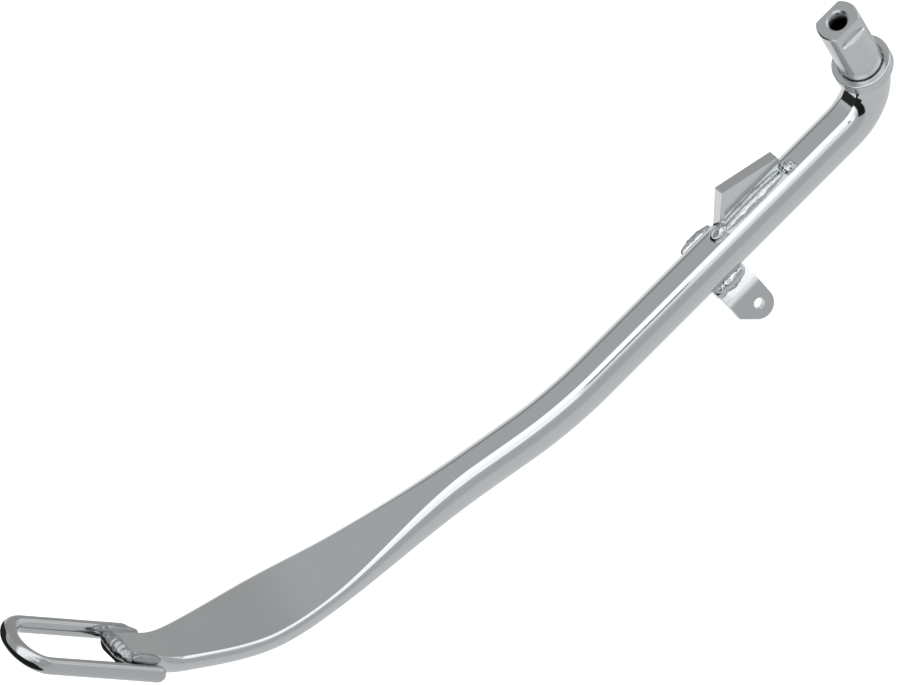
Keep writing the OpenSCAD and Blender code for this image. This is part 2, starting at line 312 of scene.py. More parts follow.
def make_leg(material):
    """The round bar from inside the collar to the tip of the tongue."""
    rings = [neck_ring(0, COLLAR_H - RECESS)]
    rings += [neck_ring(a) for a in spread(0, pi / 2, 48)[:-1]]
    rings += [bar_ring(x) for x in spread(-BEND_R, CRANK_START, 40)[:-1]]
    rings += [leg_ring(s) for s in spread(0, TONGUE_S, 130)]
    rings += [leg_ring(s) for s in spread(TONGUE_S, TIP_S, 6)[1:]]
    return add_piece("leg_bar_chromed", "leg_bar", "bar_chrome", loft(rings), material)


# ---------------------------------------------------------------- stud, collar and neck


def stud_angles():
    """Even angles round the stud, with one at each corner between a flat and the round."""
    corner = asin(HALF_FLATS / STUD_R)
    corners = [corner, pi - corner, pi + corner, 2 * pi - corner]
    closest = 0.012
    even = spread(0, 2 * pi, 144)[:-1]
    even = [a for a in even if min(abs(a - c) for c in corners) > closest]
    return sorted(even + corners)


def thread_radius(angle, depth):
    """Radius of the tapped wall: a shallow thread with sharp crests and flat roots.

    It fades in below the mouth and out at its lower end."""
    flatten, fade_in, fade_out = 1.25, 0.5, 2
    phase = (depth / THREAD_PITCH + angle / (2 * pi)) % 1.0
    tooth = min(1.0, flatten * (1 - abs(2 * phase - 1)))
    fade = ramp(depth / fade_in) * ramp((THREAD_LEN - depth) / fade_out)
    return TAPPED_R + (THREAD_ROOT_R - TAPPED_R) * tooth * fade


def round_ring(angles, r, z):
    """A plain ring of the stud."""
    return [Vector((r * cos(a), r * sin(a), z)) for a in angles]


def stud_outside(angles):
    """The stud's outer rings: relieved root, journal, two flats and a small end chamfer."""
    hold, run_out, chamfer, flat_bevel = 0.1, 0.32, 0.5, 0.25
    ledge, root = STUD_TOP - FLATS_LEN, STUD_R - RELIEF

    def flat_ring(r, half, z):
        return [Vector((r * cos(a), min(max(r * sin(a), -half), half), z)) for a in angles]

    rings = [round_ring(angles, root, -RECESS), round_ring(angles, root, -hold)]
    rings += [round_ring(angles, STUD_R, 0)]
    rings += [round_ring(angles, STUD_R, z) for z in spread(hold, ledge - run_out, 6)]
    rings += [flat_ring(STUD_R, HALF_FLATS, ledge)]
    rings += [flat_ring(STUD_R, HALF_FLATS, STUD_TOP - chamfer)]
    return rings + [flat_ring(STUD_R - chamfer, HALF_FLATS - flat_bevel, STUD_TOP)]


def stud_hole(angles):
    """The hole's rings: countersunk mouth, thread, plain lower part and a coned bottom."""
    mouth, cone_tip = 0.75, 0.2
    rings = [round_ring(angles, TAPPED_R + mouth, STUD_TOP)]
    for depth in spread(mouth, THREAD_LEN, int(THREAD_LEN / THREAD_PITCH * THREAD_STEPS)):
        z = STUD_TOP - depth
        row = [(thread_radius(a, depth - mouth), a) for a in angles]
        rings.append([Vector((r * cos(a), r * sin(a), z)) for r, a in row])
    bottom = STUD_TOP - HOLE_DEPTH
    rings += [round_ring(angles, TAPPED_R, bottom)]
    return rings + [round_ring(angles, cone_tip, bottom - HOLE_CONE)]


def make_stud(material):
    """The turned pivot stud with its flats and its tapped hole."""
    angles = stud_angles()
    bm = loft(stud_outside(angles) + stud_hole(angles))
    look = {"flats": True}
    return add_piece("pivot_stud_turned", "pivot_stud", "turned_chrome", bm, material, **look)


def make_collar(material):
    """The ring that bears on the bracket. Close pairs of rings hold its flat face flat."""
    bevel, small, foot = 0.7, 0.15, 0.3
    hold = 0.04
    profile = [(BAR_R, -COLLAR_H), (BAR_R, -small - hold), (BAR_R, -small), (BAR_R + small, 0)]
    profile += [(BAR_R + small + hold, 0), (COLLAR_R - bevel - hold, 0)]
    for a in spread(0, pi / 2, 6):
        profile.append((COLLAR_R - bevel + bevel * sin(a), bevel * (cos(a) - 1)))
    profile += [(COLLAR_R, -bevel - hold), (COLLAR_R, -COLLAR_H + foot)]
    profile += [(COLLAR_R - foot, -COLLAR_H)]
    bm = lathe(profile, 192)
    return add_piece("thrust_collar_turned", "thrust_collar", "turned_chrome", bm, material)


def make_neck_weld(material):
    """The ground fillet under the collar, with two pores left in its seam."""
    fillet = COLLAR_R - BAR_R - 0.2
    under, pore_depth, wear = 0.5, 0.45, 0.05
    pores = ((radians(-118), -COLLAR_H - 0.6, 0.5), (radians(-88), -COLLAR_H - 0.7, 0.4))

    def shape(r, a, z):
        if r < BAR_R:
            return r
        worn = wear * noise.noise(Vector((3 * cos(a), 3 * sin(a), z)))
        for at, height, size in pores:
            turn = (a - at + pi) % (2 * pi) - pi
            away = hypot(turn * BAR_R, z - height) / size
            worn -= pore_depth * exp(-away * away)
        return r + worn

    profile = [(BAR_R - under, -COLLAR_H), (BAR_R - under, -COLLAR_H - fillet)]
    for a in spread(0.05, 1.5, 18):
        profile.append((BAR_R + fillet - fillet * cos(a), -COLLAR_H - fillet + fillet * sin(a)))
    bm = lathe(profile, 288, shape)
    return add_piece("neck_weld_ground", "neck_weld", "bar_chrome", bm, material)


# ---------------------------------------------------------------- stop plate and spring tab


def make_plate(material):
    """The trapezoid plate, with broken edges and one corner ground away in a sliver."""
    front, back = plate_low.y, plate_high.y
    left, right, foot = plate_low.x, plate_high.x, plate_low.z
    lean, short_lean, tall, short = 8.7, 0.7, 19.4, 9.1
    grind_x, grind_y, broken_edge = 2.6, 0.9, 0.22
    top_left, top_right = (left + lean, foot + tall), (right - short_lean, foot + short)
    foot_left, foot_right = (left, foot), (right, foot)
    ground = ((left + grind_x, front, foot), (left, front + grind_y, foot))
    bm = bmesh.new()
    made = [bm.verts.new(v) for v in ground]
    made += [bm.verts.new((x, front, z)) for x, z in (top_left, top_right, foot_right)]
    made += [bm.verts.new((x, back, z)) for x, z in (foot_left, top_left, top_right, foot_right)]
    fa, fb, ftl, ftr, fr, bl, btl, btr, br = made
    for corners in (
        (fa, fr, ftr, ftl),
        (fa, ftl, fb),
        (fb, ftl, btl, bl),
        (bl, btl, btr, br),
        (ftl, ftr, btr, btl),
        (ftr, fr, br, btr),
        (fa, fb, bl, br, fr),
    ):
        bm.faces.new(corners)
    bmesh.ops.bevel(
        bm, geom=bm.edges[:], offset=broken_edge, segments=3, profile=0.5, affect="EDGES"
    )
    look = {"sharp": radians(60), "flats": True}
    return add_piece("stop_plate_chromed", "stop_plate", "plate_chrome", bm, material, **look)


def tab_path():
    """The tab's upper face as (y, z) points, from the wrapped end to the round end."""
    points = [(BAR_R * cos(a), BAR_R * sin(a)) for a in spread(WRAP_FROM, WRAP_TO, 24)]
    along = Vector((sin(WRAP_TO), -cos(WRAP_TO)))
    leave = Vector((BAR_R * cos(WRAP_TO), BAR_R * sin(WRAP_TO)))
    fold = leave + TAB_REACH * along
    end_dir = Vector((-cos(TAB_SLOPE), -sin(TAB_SLOPE)))
    soft = TAB_SOFT_FOLD
    points += [tuple(leave + along * t) for t in spread(0, TAB_REACH - soft, 8)[1:]]
    for t in spread(0, 1, 10)[1:]:
        before, after = (1 - t) ** 2 * (fold - soft * along), t * t * (fold + soft * end_dir)
        points.append(tuple(before + 2 * t * (1 - t) * fold + after))
    tail = HOOK_REACH + TAB_END_R + 1
    points += [tuple(fold + end_dir * t) for t in spread(soft, tail, 6)[1:]]
    return points, fold, end_dir


def cutter(name, bm):
    """A scratch object for a boolean cut, in metres."""
    bmesh.ops.recalc_face_normals(bm, faces=bm.faces)
    bmesh.ops.scale(bm, vec=(MM, MM, MM), verts=bm.verts)
    mesh = bpy.data.meshes.new(name)
    bm.to_mesh(mesh)
    bm.free()
    tool = bpy.data.objects.new(name, mesh)
    bpy.context.scene.collection.objects.link(tool)
    return tool


def tab_outline():
    """The folded end about the hole: round, with one corner cut at 45 degrees."""
    far, inner, start = 10.0, HOOK_REACH + 14, radians(-2)
    points = [(TAB_END_R, -inner)]
    points += [(TAB_END_R * cos(a), TAB_END_R * sin(a)) for a in spread(start, radians(135), 48)]
    return points + [(-far, TAB_END_R * sqrt(2) - far), (-far, -inner)]


def tab_strip(path):
    """The bent strip before its end is cut, as a scratch object."""
    rings = []
    for x in (tab_low.x, tab_high.x):
        upper = [Vector((x, y, z - BAR_DROP)) for y, z in path]
        under = []
        for i, (y, z) in enumerate(path):
            ahead, behind = path[min(i + 1, len(path) - 1)], path[max(i - 1, 0)]
            along = Vector((ahead[0] - behind[0], ahead[1] - behind[1])).normalized()
            below = Vector((-along.y, along.x)) * TAB_T
            under.append(Vector((x, y + below.x, z + below.y - BAR_DROP)))
        rings.append(upper + under[::-1])
    return cutter("tab_strip", loft(rings))


def tab_tools(hole, end_dir):
    """The folded end's outline and its hole, as tall scratch prisms square to its face."""
    across, out = Vector((1, 0, 0)), Vector((0, end_dir.x, end_dir.y))
    normal = across.cross(out)
    centre = Vector((tab_high.x - TAB_END_R, hole.x, hole.y - BAR_DROP))
    circle = [(HOOK_R * cos(a), HOOK_R * sin(a)) for a in spread(0, 2 * pi, 64)[:-1]]
    tools = []
    for name, outline, reach in (("tab_end", tab_outline(), 60.0), ("tab_hole", circle, 10.0)):
        sides = [
            [centre + across * u + out * v + normal * h for u, v in outline]
            for h in (-reach, reach)
        ]
        tools.append(cutter(name, loft(sides)))
    return tools


def make_tab(material):
    """The spring tab, cut from its strip, with softened edges."""
    path, fold, end_dir = tab_path()
    strip = tab_strip(path)
    tools = tab_tools(fold + end_dir * HOOK_REACH, end_dir)
    for tool, operation in zip(tools, ("INTERSECT", "DIFFERENCE")):
        cut = strip.modifiers.new(tool.name, "BOOLEAN")
        cut.object, cut.operation, cut.solver = tool, operation, "EXACT"
    soften = strip.modifiers.new("edges", "BEVEL")
    soften.width, soften.segments = TAB_EDGE * MM, 3
    soften.limit_method, soften.angle_limit = "ANGLE", radians(40)
    bpy.context.view_layer.update()
    done = strip.evaluated_get(bpy.context.evaluated_depsgraph_get()).to_mesh()
    bm = bmesh.new()
    bm.from_mesh(done)
    bmesh.ops.scale(bm, vec=(1 / MM,) * 3, verts=bm.verts)
    for scratch in [strip] + tools:
        bpy.data.objects.remove(scratch)
    look = {"sharp": radians(50), "flats": True}
    return add_piece("spring_tab_chromed", "spring_tab", "plate_chrome", bm, material, **look)


# ---------------------------------------------------------------- foot loop


def tongue_frame():
    """The tongue's frame: along the toe, across to the near side, and out of its upper face."""
    q, rise = climb_at(TONGUE_S)[:2]
    x, y, yaw = plan_at(q)
    along = Vector((-cos(yaw) * cos(TOE_ANGLE), sin(yaw) * cos(TOE_ANGLE), sin(TOE_ANGLE)))
    across = Vector((-sin(yaw), -cos(yaw), 0))
    turn = Matrix((along, across, along.cross(across))).transposed().to_4x4()
    return Matrix.Translation((x, y, TOP_Z + rise)) @ turn


def loop_line():
    """The rod's centre line in the tongue's plane, as (along, across, heading)."""
    half = LOOP_W / 2
    line = [(t, half, 0.0) for t in spread(0, LOOP_STRAIGHT, 24)]
    line += [(LOOP_STRAIGHT + half * sin(a), half * cos(a), -a) for a in spread(0, pi, 64)[1:]]
    return line + [(t, -half, -pi) for t in spread(LOOP_STRAIGHT, 0, 40)[1:]]


def make_loop(material):
    """The U-bent rod with one rounded end and one end cut at an angle."""
    place = tongue_frame() @ Matrix.Translation((LOOP_START, -TOE_SHIFT, LOOP_MID))
    rings = []
    for a in spread(pi / 2, 0, 10)[:-1]:
        back, r = ROD_R * sin(a), max(ROD_R * cos(a), 0.05)
        rings.append((-back, LOOP_W / 2, 0.0, r))
    rings += [(t, w, turn, ROD_R) for t, w, turn in loop_line()]
    shown = []
    for t, w, turn, r in rings:
        ring = []
        for i in range(48):
            a = 2 * pi * i / 48
            px, py = t - r * cos(a) * sin(turn), w + r * cos(a) * cos(turn)
            if w < 0 and t < 2 * MITRE:
                cut = (-LOOP_W / 2 + ROD_R - py) * MITRE / (2 * ROD_R)
                px = max(px, cut)
            ring.append(place @ Vector((px, py, r * sin(a))))
        shown.append(ring)
    return add_piece("foot_loop_chromed", "foot_loop", "bar_chrome", loft(shown), material)


# ---------------------------------------------------------------- weld beads

RIPPLE_SWEEP = 0.8
RIPPLE_SKEW = 0.25
RIPPLE_HEIGHT = 0.085
RIPPLE_STEPS = 14
RIPPLE_STRAY = 0.5
BEAD_SIDES = 56
END_TAPER = 0.35
COARSE_LUMP, FINE_LUMP = 0.13, 0.05
LUMP_SCALE, FINE_SCALE, STRAY_SCALE = 0.28, 3.1, 0.35
BEAD_FILL = 0.96
SEAM_R, SEAM_RIPPLES = 2.2, 13
BLOB_R, BLOB_RIPPLES = 3.1, 3


def make_bead(
    name, node, place, length, radius, ripples, material, seed, craters=(), height=RIPPLE_HEIGHT
):
    """A ridge of overlapping puddles along local +X, with lumps and craters.

    Each crater is (along, angle, size, depth)."""
    rng = random.Random(seed)
    swell = [rng.uniform(0.3, 1.5) for _ in range(ripples + 4)]
    steps = ripples * RIPPLE_STEPS
    rings = []
    for i in range(1, steps):
        t = i / steps
        taper = sin(pi * t) ** END_TAPER
        stray = RIPPLE_STRAY * noise.noise(Vector((t * length * STRAY_SCALE, seed, 0)))
        ring = []
        for j in range(BEAD_SIDES):
            a = 2 * pi * j / BEAD_SIDES
            at_puddle = ripples * t + stray + 1.0 + RIPPLE_SWEEP * sin(a) + RIPPLE_SKEW * cos(2 * a)
            k = floor(at_puddle)
            puddle = height * swell[k % len(swell)] * sin(pi * (at_puddle - k)) ** 0.7
            here = Vector((t * length * LUMP_SCALE, 0.9 * cos(a), 0.9 * sin(a) + seed))
            lump = COARSE_LUMP * noise.noise(here) + FINE_LUMP * noise.noise(here * FINE_SCALE)
            r = radius * taper * (BEAD_FILL + puddle + lump)
            for along, at, size, depth in craters:
                turn = (a - at + pi) % (2 * pi) - pi
                away = hypot(turn * radius, t * length - along) / size
                r -= depth * exp(-(away**4))
            ring.append(place @ Vector((t * length, r * cos(a), r * sin(a))))
        rings.append(ring)
    return add_piece(name, node, "weld_chrome", loft(rings), material, sharp=radians(60))


def bar_place(x, y, z):
    """The place of a bead that runs along the bar."""
    return Matrix.Translation((x, y, z))


def make_stop_beads(material):
    """The seams along the plate's front and rear foot, and a blob at each of its ends."""
    left, right, front, back = plate_low.x, plate_high.x, plate_low.y, plate_high.y
    seams = (
        ("front", (left + 1.5, front - 1, TOP_Z - 0.1)),
        ("rear", (left + 1.5, back - 0.1, TOP_Z - 0.8)),
    )
    blobs = (
        ("lower", (left - 5.5, front + 0.3, TOP_Z - 0.4), 9, (3.0, 1.75, 1.15, 2.3)),
        ("upper", (right - 2.4, front - 0.8, TOP_Z - 0.6), 6.5, (4.6, 1.8, 0.5, 0.6)),
    )
    spots = [(side, at, right - left - 4, SEAM_R, SEAM_RIPPLES, ()) for side, at in seams]
    spots += [(side, at, run, BLOB_R, BLOB_RIPPLES, (pit,)) for side, at, run, pit in blobs]
    for seed, (side, at, run, radius, ripples, craters) in enumerate(spots, 11):
        name, node, place = f"stop_bead_{side}", f"stop_{side}_weld", bar_place(*at)
        make_bead(name, node, place, run, radius, ripples, material, seed, craters)


def make_tab_beads(material):
    """The tab's front and rear seams, and a blob with a crater beside the front one."""
    front_r, rear_r, end_r = 4.0, 2.6, 2.8
    rise, out, left = 2.6, 10.5, tab_low.x
    y = (BAR_R - rise) * cos(WRAP_TO) + out * sin(WRAP_TO)
    z = (BAR_R - rise) * sin(WRAP_TO) - out * cos(WRAP_TO) - BAR_DROP
    width = tab_high.x - tab_low.x
    front = bar_place(left + 0.4, y, z)
    make_bead("tab_bead_front", "tab_front_weld", front, width - 1.5, front_r, 6, material, 31)
    turn, away = WRAP_FROM + radians(13), BAR_R + 0.3
    rear = bar_place(left, away * cos(turn), away * sin(turn) - BAR_DROP)
    make_bead("tab_bead_rear", "tab_rear_weld", rear, width, rear_r, 6, material, 32)
    end, crater = bar_place(left - 1.4, y - 1, z), ((2.6, 1.9, 0.9, 1.6),)
    make_bead("tab_bead_end", "tab_end_weld", end, 5.5, end_r, 2, material, 33, crater)


def make_loop_beads(material):
    """The beads between the tongue and the loop's legs, and the one across the tongue's tip."""
    side_r, toe_r = 2.3, 3.4
    place, inner = tongue_frame(), LOOP_W / 2 - ROD_R
    near = place @ Matrix.Translation((-0.5, -TOE_SHIFT + inner - 0.3, -0.9))
    run = TONGUE_LEN + 1
    name, node = "loop_bead_near", "loop_near_weld"
    make_bead(name, node, near, run, side_r, 5, material, 41, height=0.04)
    far = place @ Matrix.Translation((1, -TOE_SHIFT - inner + 0.6, -0.9))
    holes = ((18.0, 1.2, 0.8, 1.3), (21.5, 1.1, 0.7, 1.2))
    run = TONGUE_LEN + 10
    name, node = "loop_bead_far", "loop_far_weld"
    make_bead(name, node, far, run, side_r, 6, material, 42, holes, height=0.05)
    width = 2 * inner + 1.6
    lean = TIP_SLANT * 0.9
    middle = Matrix.Translation((TONGUE_LEN + 2, -TOE_SHIFT, -2.4))
    middle = middle @ Matrix.Rotation(pi / 2 + lean, 4, "Z")
    toe = place @ middle @ Matrix.Translation((-width / 2, 0, 0))
    hollow = ((width - 3.6, 1.35, 1.0, 2.2),)
    make_bead("toe_bead", "toe_weld", toe, width, toe_r, 8, material, 43, hollow, height=0.03)


# ---------------------------------------------------------------- chrome


def new_node(nodes, kind, **values):
    """A shader node with its plain settings made."""
    node = nodes.new(kind)
    for key, value in values.items():
        if hasattr(node, key):
            setattr(node, key, value)
        else:
            node.inputs[key.replace("_", " ")].default_value = value
    return node


def wire(tree, *joins):
    """Joins sockets. Each join is (node, its output, node, its input)."""
    for source, output, target, entry in joins:
        tree.links.new(source.outputs[output], target.inputs[entry])


def paint_bore_shade(tree, colour):
    """Paints shade down the stud's tapped hole: the plate's colour falls off to near black with
    depth.
    """
    nodes, wall = tree.nodes, THREAD_ROOT_R * MM
    place = new_node(nodes, "ShaderNodeTexCoord")
    parts = new_node(nodes, "ShaderNodeSeparateXYZ")
    flat = new_node(nodes, "ShaderNodeCombineXYZ")
    away = new_node(nodes, "ShaderNodeVectorMath", operation="LENGTH")
    inside = new_node(nodes, "ShaderNodeMapRange", From_Min=wall * 1.06, From_Max=wall * 1.03)
    deep = new_node(nodes, "ShaderNodeMapRange")
    deep.inputs["From Min"].default_value = (STUD_TOP - 1.0) * MM
    deep.inputs["From Max"].default_value = (STUD_TOP - 6.0) * MM
    both = new_node(nodes, "ShaderNodeMath", operation="MULTIPLY")
    mix = new_node(nodes, "ShaderNodeMix", data_type="RGBA")
    # Near black: the painted shade deep in the tapped hole.
    mix.inputs["B"].default_value = (0.02, 0.02, 0.022, 1)
    wire(
        tree,
        (place, "Object", parts, "Vector"),
        (parts, "X", flat, "X"),
        (parts, "Y", flat, "Y"),
        (flat, "Vector", away, 0),
        (away, "Value", inside, "Value"),
        (parts, "Z", deep, "Value"),
        (inside, "Result", both, 0),
        (deep, "Result", both, 1),
        (both, "Value", mix, "Factor"),
        (colour, "Result", mix, "A"),
        (mix, "Result", nodes["Principled BSDF"], "Base Color"),
    )


def plate_colour(tree, place, edges, tint, dull):
    """Slow colour drift between two tints, with painted shade darkening the hollows."""
    nodes = tree.nodes
    drift = new_node(nodes, "ShaderNodeTexNoise", Scale=38.0, Detail=3.0)
    colour = new_node(nodes, "ShaderNodeMix", data_type="RGBA")
    colour.inputs["A"].default_value = (*tint, 1)
    colour.inputs["B"].default_value = (*dull, 1)
    # Painted shade: the colour falls to near black where pointiness is low, in hollows and creases.
    hollows = new_node(nodes, "ShaderNodeMapRange", From_Min=0.38, From_Max=0.47)
    painted_hollow_shade = new_node(nodes, "ShaderNodeMix", data_type="RGBA")
    painted_hollow_shade.inputs["A"].default_value = (0.10, 0.10, 0.10, 1)
    wire(
        tree,
        (place, "Object", drift, "Vector"),
        (drift, "Fac", colour, "Factor"),
        (edges, "Pointiness", hollows, "Value"),
        (hollows, "Result", painted_hollow_shade, "Factor"),
        (colour, "Result", painted_hollow_shade, "B"),
        (painted_hollow_shade, "Result", nodes["Principled BSDF"], "Base Color"),
    )
    return painted_hollow_shade


def plate_polish(tree, place, edges, rough):
    """Uneven polish, a little rougher on worn edges."""
    nodes = tree.nodes
    polish = new_node(nodes, "ShaderNodeTexNoise", Scale=260.0, Detail=4.0)
    to_rough = new_node(nodes, "ShaderNodeMapRange", To_Min=rough * 0.6, To_Max=rough * 1.5)
    wear = new_node(nodes, "ShaderNodeMapRange", From_Min=0.56, From_Max=0.68, To_Max=0.10)
    total = new_node(nodes, "ShaderNodeMath", operation="ADD")
    wire(
        tree,
        (place, "Object", polish, "Vector"),
        (polish, "Fac", to_rough, "Value"),
        (edges, "Pointiness", wear, "Value"),
        (to_rough, "Result", total, 0),
        (wear, "Result", total, 1),
        (total, "Value", nodes["Principled BSDF"], "Roughness"),
    )


def plate_bumps(tree, place, wave, wave_size, grain):
    """A wavy bump under a fine one. Returns the wavy one, which takes the pits."""
    nodes = tree.nodes
    waves = new_node(nodes, "ShaderNodeTexNoise", Scale=wave_size, Detail=2.0)
    wave_bump = new_node(nodes, "ShaderNodeBump", Strength=wave, Distance=0.001)
    fine = new_node(nodes, "ShaderNodeTexNoise", Scale=2400.0, Detail=3.0)
    fine_bump = new_node(nodes, "ShaderNodeBump", Strength=grain, Distance=0.0002)
    wire(
        tree,
        (place, "Object", waves, "Vector"),
        (place, "Object", fine, "Vector"),
        (waves, "Fac", wave_bump, "Height"),
        (fine, "Fac", fine_bump, "Height"),
        (wave_bump, "Normal", fine_bump, "Normal"),
        (fine_bump, "Normal", nodes["Principled BSDF"], "Normal"),
    )
    return wave_bump


def plate_pits(tree, place, depth, wave_bump):
    """Small round pits under the other bumps."""
    nodes = tree.nodes
    spots = new_node(nodes, "ShaderNodeTexVoronoi", Scale=180.0)
    hollow = new_node(nodes, "ShaderNodeMapRange", From_Min=0.03, From_Max=0.10, To_Min=1.0)
    hollow.inputs["To Max"].default_value = 0.0
    pit_bump = new_node(nodes, "ShaderNodeBump", Strength=depth, Distance=0.0006, invert=True)
    wire(
        tree,
        (place, "Object", spots, "Vector"),
        (spots, "Distance", hollow, "Value"),
        (hollow, "Result", pit_bump, "Height"),
        (pit_bump, "Normal", wave_bump, "Normal"),
    )


def chrome(name, tint, dull, rough, wave, wave_size, grain, pits=0.0, bore=False):
    """Chrome plate, with pits, or painted shade down the stud's bore, where they are asked for."""
    material = bpy.data.materials.new(name)
    material.use_nodes = True
    tree = material.node_tree
    tree.nodes["Principled BSDF"].inputs["Metallic"].default_value = 1.0
    place = new_node(tree.nodes, "ShaderNodeTexCoord")
    edges = new_node(tree.nodes, "ShaderNodeNewGeometry")
    colour = plate_colour(tree, place, edges, tint, dull)
    plate_polish(tree, place, edges, rough)
    wave_bump = plate_bumps(tree, place, wave, wave_size, grain)
    if pits:
        plate_pits(tree, place, pits, wave_bump)
    if bore:
        paint_bore_shade(tree, colour)
    return material


# ---------------------------------------------------------------- studio

# Brightness of the studio seen round the bar: angles are from straight up, towards the front.
STUDIO = (
    # below and behind
    (-180, 0.72),
    (-128, 0.95),
    (-98, 0.85),
    # a darker strip at the back
    (-90, 0.34),
    (-72, 0.34),
    # behind and above
    (-58, 0.60),
    (-42, 0.62),
    (-36, 0.52),
    (-6, 0.52),
    # the light overhead and its soft front edge
    (4, 1.55),
    (32, 1.50),
    (37, 1.15),
    (47, 1.00),
    # in front, then below
    (55, 0.58),
    (62, 0.53),
    (86, 0.54),
    (98, 0.66),
    (180, 0.72),
)
BRIGHTEST = max(level for _, level in STUDIO)
DARK_SIDE = 0.03
CORNER_GREY = 0.45


def smooth_range(nodes, start, end):
    """A smooth step from 0 at start to 1 at end."""
    node = new_node(nodes, "ShaderNodeMapRange", From_Min=start, From_Max=end)
    node.interpolation_type = "SMOOTHSTEP"
    return node


def product(tree, first, second):
    """The product of two nodes' results."""
    node = new_node(tree.nodes, "ShaderNodeMath", operation="MULTIPLY")
    wire(tree, (first, 0, node, 0), (second, 0, node, 1))
    return node


def studio_ring(tree, parts):
    """The STUDIO brightness as a colour ramp over the angle round the bar."""
    nodes = tree.nodes
    flip = new_node(nodes, "ShaderNodeMath", operation="MULTIPLY")
    flip.inputs[1].default_value = -1.0
    turn = new_node(nodes, "ShaderNodeMath", operation="ARCTAN2")
    share = new_node(nodes, "ShaderNodeMapRange", From_Min=-pi, From_Max=pi)
    ring = new_node(nodes, "ShaderNodeValToRGB")
    wire(
        tree,
        (parts, "Y", flip, 0),
        (flip, "Value", turn, 0),
        (parts, "Z", turn, 1),
        (turn, "Value", share, "Value"),
        (share, "Result", ring, "Fac"),
    )
    stops = ring.color_ramp.elements
    while len(stops) < len(STUDIO):
        stops.new(0.5)
    for stop, (angle, level) in zip(stops, STUDIO):
        shade = level / BRIGHTEST
        stop.position = (angle + 180) / 360
        stop.color = (shade * 0.985, shade, shade * 1.005, 1)
    return ring


def grey_corner(tree, parts, ring):
    """The ring's colour, turned to plain grey in the corner behind the head."""
    right = smooth_range(tree.nodes, 0.3, 0.5)
    beyond = smooth_range(tree.nodes, 0.08, 0.25)
    wire(tree, (parts, "X", right, "Value"), (parts, "Y", beyond, "Value"))
    grey = new_node(tree.nodes, "ShaderNodeMix", data_type="RGBA")
    grey.inputs["B"].default_value = (CORNER_GREY / BRIGHTEST,) * 3 + (1,)
    corner = product(tree, right, beyond)
    wire(tree, (corner, "Value", grey, "Factor"), (ring, "Color", grey, "A"))
    return grey


def dark_side(tree, parts):
    """The studio's strength, which drops almost to black in a low band beyond the toe."""
    nodes = tree.nodes
    side = smooth_range(nodes, -0.40, -0.48)
    low = smooth_range(nodes, 0.46, 0.38)
    above = smooth_range(nodes, -0.06, 0.0)
    wire(
        tree,
        (parts, "X", side, "Value"),
        (parts, "Z", low, "Value"),
        (parts, "Z", above, "Value"),
    )
    dark = product(tree, product(tree, side, low), above)
    keep = new_node(nodes, "ShaderNodeMapRange", To_Min=BRIGHTEST, To_Max=DARK_SIDE * BRIGHTEST)
    wire(tree, (dark, "Value", keep, "Value"))
    return keep


def white_backdrop(tree, studio):
    """Shows the camera plain white, while everything else sees the studio."""
    nodes = tree.nodes
    seen = new_node(nodes, "ShaderNodeLightPath")
    plain = new_node(nodes, "ShaderNodeBackground", Color=(1, 1, 1, 1), Strength=1.0)
    mix = new_node(nodes, "ShaderNodeMixShader")
    wire(
        tree,
        (seen, "Is Camera Ray", mix, "Fac"),
        (studio, "Background", mix, 1),
        (plain, "Background", mix, 2),
        (mix, "Shader", nodes["World Output"], "Surface"),
    )


def make_world():
    """A soft studio as a plain function of direction. The camera sees white in its place."""
    world = bpy.data.worlds.new("studio")
    bpy.context.scene.world = world
    world.use_nodes = True
    tree = world.node_tree
    studio = tree.nodes["Background"]
    place = new_node(tree.nodes, "ShaderNodeTexCoord")
    parts = new_node(tree.nodes, "ShaderNodeSeparateXYZ")
    wire(tree, (place, "Generated", parts, "Vector"))
    colour = grey_corner(tree, parts, studio_ring(tree, parts))
    strength = dark_side(tree, parts)
    wire(tree, (colour, "Result", studio, "Color"), (strength, "Result", studio, "Strength"))
    white_backdrop(tree, studio)


def make_card(name, centre, half_width, half_height, shade):
    """A plain card of the studio, seen only in the chrome."""
    bm = bmesh.new()
    signs = ((-1, -1), (1, -1), (1, 1), (-1, 1))
    corners = [centre + half_width * a + half_height * b for a, b in signs]
    bm.faces.new([bm.verts.new(c) for c in corners])
    mesh = bpy.data.meshes.new(name)
    bm.to_mesh(mesh)
    bm.free()
    material = bpy.data.materials.new(name)
    material.use_nodes = True
    shader = material.node_tree.nodes["Principled BSDF"]
    shader.inputs["Base Color"].default_value = (0, 0, 0, 1)
    shader.inputs["Specular IOR Level"].default_value = 0.0
    shader.inputs["Emission Color"].default_value = (1, 1, 1, 1)
    shader.inputs["Emission Strength"].default_value = shade
    mesh.materials.append(material)
    card = bpy.data.objects.new(name, mesh)
    bpy.context.scene.collection.objects.link(card)
    card.visible_camera = card.visible_diffuse = card.visible_shadow = False


def overhead_card(name, x_low, x_high, angle_low, angle_high, shade):
    """A card that faces the bar from above and in front, between two angles from straight up."""
    away, middle = 0.5, radians((angle_low + angle_high) / 2)
    tall = away * tan(radians((angle_high - angle_low) / 2))
    centre = Vector(((x_low + x_high) / 2, -away * sin(middle), away * cos(middle) - BAR_DROP * MM))
    half_width = Vector(((x_high - x_low) / 2, 0, 0))
    make_card(name, centre, half_width, Vector((0, -cos(middle), -sin(middle))) * tall, shade)


def make_cards():
    """A dark batten and a bright card over the bar, two dark cards by the toe, a pale one by the
    head."""
    overhead_card("dark_batten", -0.115, -0.030, 33.0, 39.0, 0.20)
    overhead_card("bright_card", -0.300, -0.128, 31.0, 50.0, 1.35)
    upright = Vector((0, 0, 0.17))
    by_toe, behind_toe = Vector((-0.60, 0, 0.03)), Vector((-0.47, 0.27, 0.04))
    by_head = Vector((0.35, -0.04, -0.09))
    make_card("toe_side_card", by_toe, Vector((0, 0.30, 0)), upright, 0.02)
    make_card("toe_back_card", behind_toe, Vector((0.12, 0, 0)), upright, 0.03)
    make_card("head_card", by_head, Vector((0, 0.22, 0)), upright * 1.3, 0.92)


